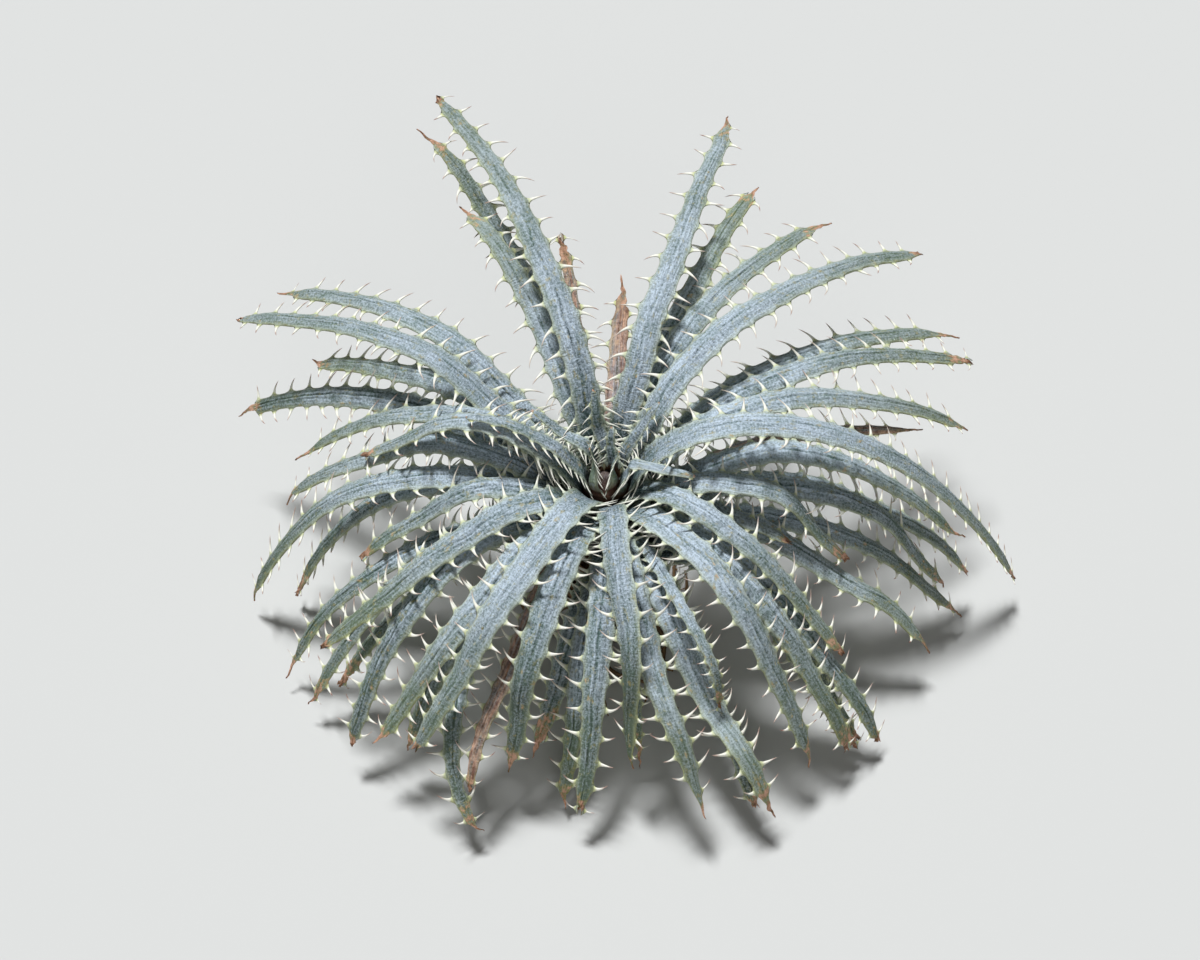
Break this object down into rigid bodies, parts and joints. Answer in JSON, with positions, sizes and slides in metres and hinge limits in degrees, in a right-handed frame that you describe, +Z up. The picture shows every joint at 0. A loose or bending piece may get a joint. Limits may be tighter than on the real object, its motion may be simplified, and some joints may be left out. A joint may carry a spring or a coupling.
{
  "type": "dyckia bromeliad",
  "caption": "Bare-rooted bromeliad: a rosette of thick, arching, silver-grey leaves edged with hooked spines, on a short woody stock with cut roots.",
  "frame": {"origin": "centre of the stock's flat cut foot, on the surface that the plant stands on", "axes": "+Z up along the stock; the longer leaves of the back lean to +Y, and +X is to the right seen from the front (-Y)"},
  "size_m": [0.3124, 0.2486, 0.1532],
  "materials": {
    "leaf": "matte, silver-scaled",
    "dried_leaf": "matte, dry",
    "stock": "matte, fibrous"
  },
  "bodies": {
    "root": {"leaf_01": "leaf", "leaf_02": "leaf", "leaf_03": "dried_leaf", "leaf_04": "leaf", "leaf_05": "leaf", "leaf_06": "dried_leaf", "leaf_07": "leaf", "leaf_08": "leaf", "leaf_09": "leaf", "leaf_10": "leaf", "leaf_11": "dried_leaf", "leaf_12": "leaf", "leaf_13": "leaf", "leaf_14": "leaf", "leaf_15": "leaf", "leaf_16": "leaf", "leaf_17": "leaf", "leaf_18": "leaf", "leaf_19": "leaf", "leaf_20": "leaf", "leaf_21": "leaf", "leaf_22": "leaf", "leaf_23": "leaf", "leaf_24": "leaf", "leaf_25": "leaf", "leaf_26": "leaf", "leaf_27": "leaf", "leaf_28": "leaf", "leaf_29": "leaf", "leaf_30": "leaf", "leaf_31": "leaf", "leaf_32": "leaf", "leaf_33": "leaf", "leaf_34": "leaf", "leaf_35": "leaf", "leaf_36": "dried_leaf", "leaf_37": "leaf", "leaf_38": "leaf", "leaf_39": "leaf", "leaf_40": "leaf", "leaf_41": "leaf", "leaf_42": "leaf", "leaf_43": "leaf", "leaf_44": "leaf", "leaf_45": "leaf", "leaf_46": "leaf", "leaf_47": "leaf", "leaf_48": "leaf", "leaf_49": "leaf", "leaf_50": "leaf", "leaf_51": "leaf", "leaf_52": "leaf", "leaf_53": "leaf", "leaf_54": "leaf", "leaf_55": "leaf", "leaf_56": "leaf", "leaf_57": "leaf", "heart": "leaf", "stock": "stock"}
  },
  "joints": []
}
